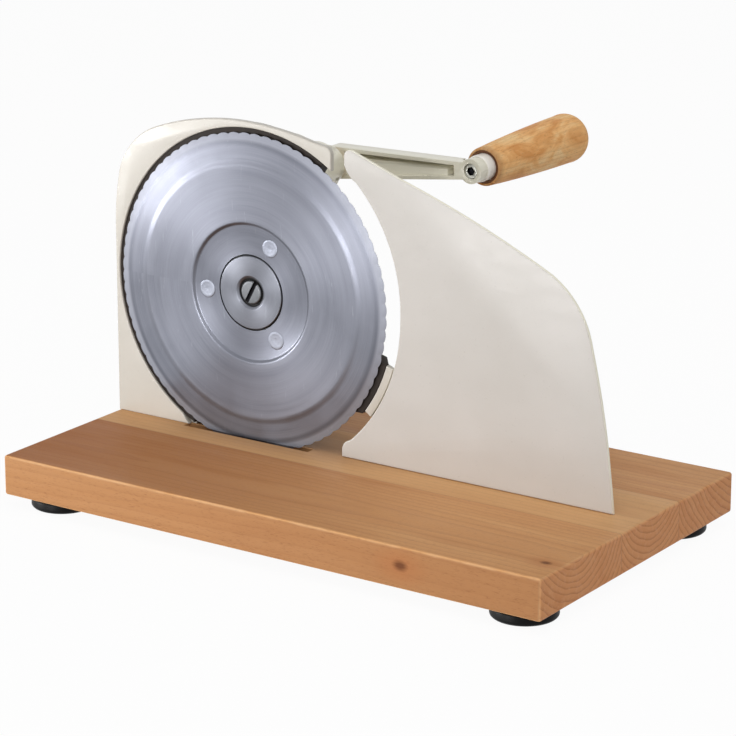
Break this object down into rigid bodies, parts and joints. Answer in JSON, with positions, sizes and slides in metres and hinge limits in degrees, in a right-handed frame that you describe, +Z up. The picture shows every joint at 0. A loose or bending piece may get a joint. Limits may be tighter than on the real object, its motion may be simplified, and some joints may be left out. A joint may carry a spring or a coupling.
{
  "type": "hand cranked bread slicer",
  "caption": "Hand cranked bread slicer: wooden board on rubber feet, upright serrated disc blade, sliding stop plate and a rear crank with a wooden grip.",
  "frame": {"origin": "middle of the bounding box in plan, at the level of the underside of the feet", "axes": "+X along the board to the right as the user faces the cutting side, +Y to the rear where the crank is, +Z up"},
  "size_m": [0.3458, 0.2824, 0.2123],
  "materials": {
    "board_wood": "oiled beech",
    "foot_rubber": "smooth",
    "zinc_steel": "zinc plated",
    "cast_paint": "satin enamel",
    "plate_paint": "satin enamel",
    "arm_paint": "satin enamel",
    "ferrule_paint": "satin enamel",
    "guard_plastic": "matt",
    "blade_steel": "radially brushed",
    "rivet_steel": "pressed",
    "cap_steel": "brushed",
    "screw_steel": "turned",
    "machined_steel": "turned",
    "dark_steel": "blackened",
    "gear_plastic": "moulded",
    "brass": "turned",
    "grip_wood": "lacquered beech",
    "knob_plastic": "fine grained"
  },
  "bodies": {
    "base": {"base_board": "board_wood", "foot_front_left": "foot_rubber", "foot_front_right": "foot_rubber", "foot_rear_left": "foot_rubber", "foot_rear_right": "foot_rubber", "foot_screws": "zinc_steel", "body_casting": "cast_paint", "body_screws": "zinc_steel", "guard_ring": "guard_plastic", "gear_cover": "cast_paint", "cover_screws": "zinc_steel", "blade_axle": "machined_steel", "blade_cap": "cap_steel", "blade_screw": "screw_steel", "axle_washer": "zinc_steel", "axle_nut": "zinc_steel", "front_crank_bush": "brass", "rear_crank_bush": "brass", "stop_bracket": "cast_paint", "bracket_screws": "zinc_steel", "spindle_bush": "brass", "left_guide_rod": "machined_steel", "right_guide_rod": "machined_steel"},
    "blade_unit": {"blade": "blade_steel", "blade_rivets": "rivet_steel", "blade_gear": "gear_plastic", "blade_bush": "brass"},
    "crank": {"crank_gear": "gear_plastic", "crank_shaft": "machined_steel", "gear_key": "machined_steel", "crank_arm": "arm_paint", "hub_washer": "zinc_steel", "hub_bolt": "zinc_steel", "eye_screw": "dark_steel", "handle_ferrule": "ferrule_paint", "handle_pin": "machined_steel"},
    "grip": {"grip_ring": "guard_plastic", "wooden_grip": "grip_wood"},
    "stop": {"stop_plate": "plate_paint", "stop_carriage": "cast_paint", "spindle_nut": "brass", "carriage_nuts": "zinc_steel"},
    "knob": {"adjusting_spindle": "machined_steel", "adjusting_knob": "knob_plastic", "knob_screw": "zinc_steel"}
  },
  "joints": [
    {"name": "crank_turn", "type": "hinge", "parent": "base", "child": "crank", "pos_m": [-0.0708, 0.02065, 0.17616], "axis": [0, 1, 0], "continuous": true},
    {"name": "blade_turn", "type": "hinge", "parent": "base", "child": "blade_unit", "pos_m": [-0.0773, -0.03935, 0.115], "axis": [0, 1, 0], "continuous": true},
    {"name": "grip_spin", "type": "hinge", "parent": "crank", "child": "grip", "pos_m": [0.02114, 0.05065, 0.18307], "axis": [0, 1, 0], "continuous": true},
    {"name": "stop_slide", "type": "slide", "parent": "base", "child": "stop", "axis": [0, 1, 0], "range_m": [0, 0.015]},
    {"name": "knob_turn", "type": "hinge", "parent": "base", "child": "knob", "pos_m": [0.0587, 0.02065, 0.0928], "axis": [0, 1, 0], "range_deg": [0, 270]}
  ],
  "couplings": [
    {"joint": "blade_turn", "follows": "crank_turn", "ratio": -0.70833},
    {"joint": "knob_turn", "follows": "stop_slide", "rad_per_m": 314}
  ]
}
